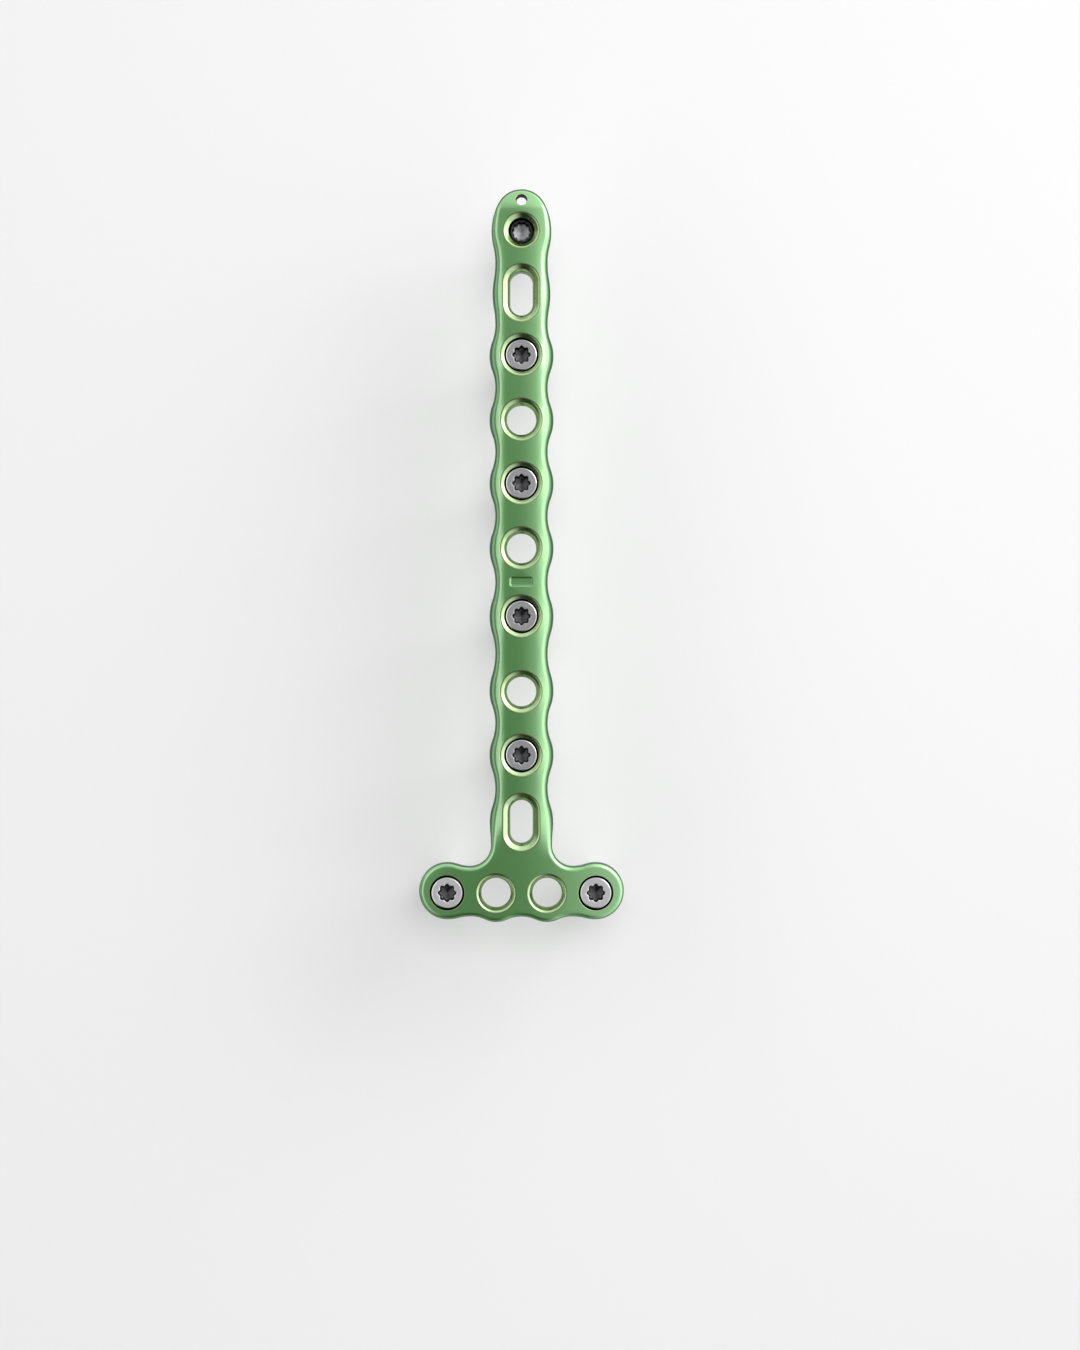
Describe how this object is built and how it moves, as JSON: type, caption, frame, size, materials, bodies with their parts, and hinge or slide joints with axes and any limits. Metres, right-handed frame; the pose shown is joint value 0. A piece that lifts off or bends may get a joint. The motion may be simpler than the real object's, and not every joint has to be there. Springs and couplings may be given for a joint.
{
  "type": "orthopedic bone plate",
  "caption": "Slender T-shaped metal bone plate with a scalloped shaft, round locking holes, long sliding holes and the locking screws seated in it",
  "frame": {"origin": "below the middle of the plate, at the level that the long screws' tips share", "axes": "+X across the plate, +Y along the shaft to the tapered tip, +Z out of the front face, away from the bone"},
  "size_m": [0.033, 0.1176, 0.0288],
  "materials": {
    "anodised_titanium": "satin",
    "screw_titanium": "satin"
  },
  "bodies": {
    "root": {"bone_plate": "anodised_titanium", "tip_screw": "screw_titanium", "shaft_screw_1": "screw_titanium", "shaft_screw_2": "screw_titanium", "shaft_screw_3": "screw_titanium", "shaft_screw_4": "screw_titanium", "head_screw_left": "screw_titanium", "head_screw_right": "screw_titanium"}
  },
  "joints": []
}
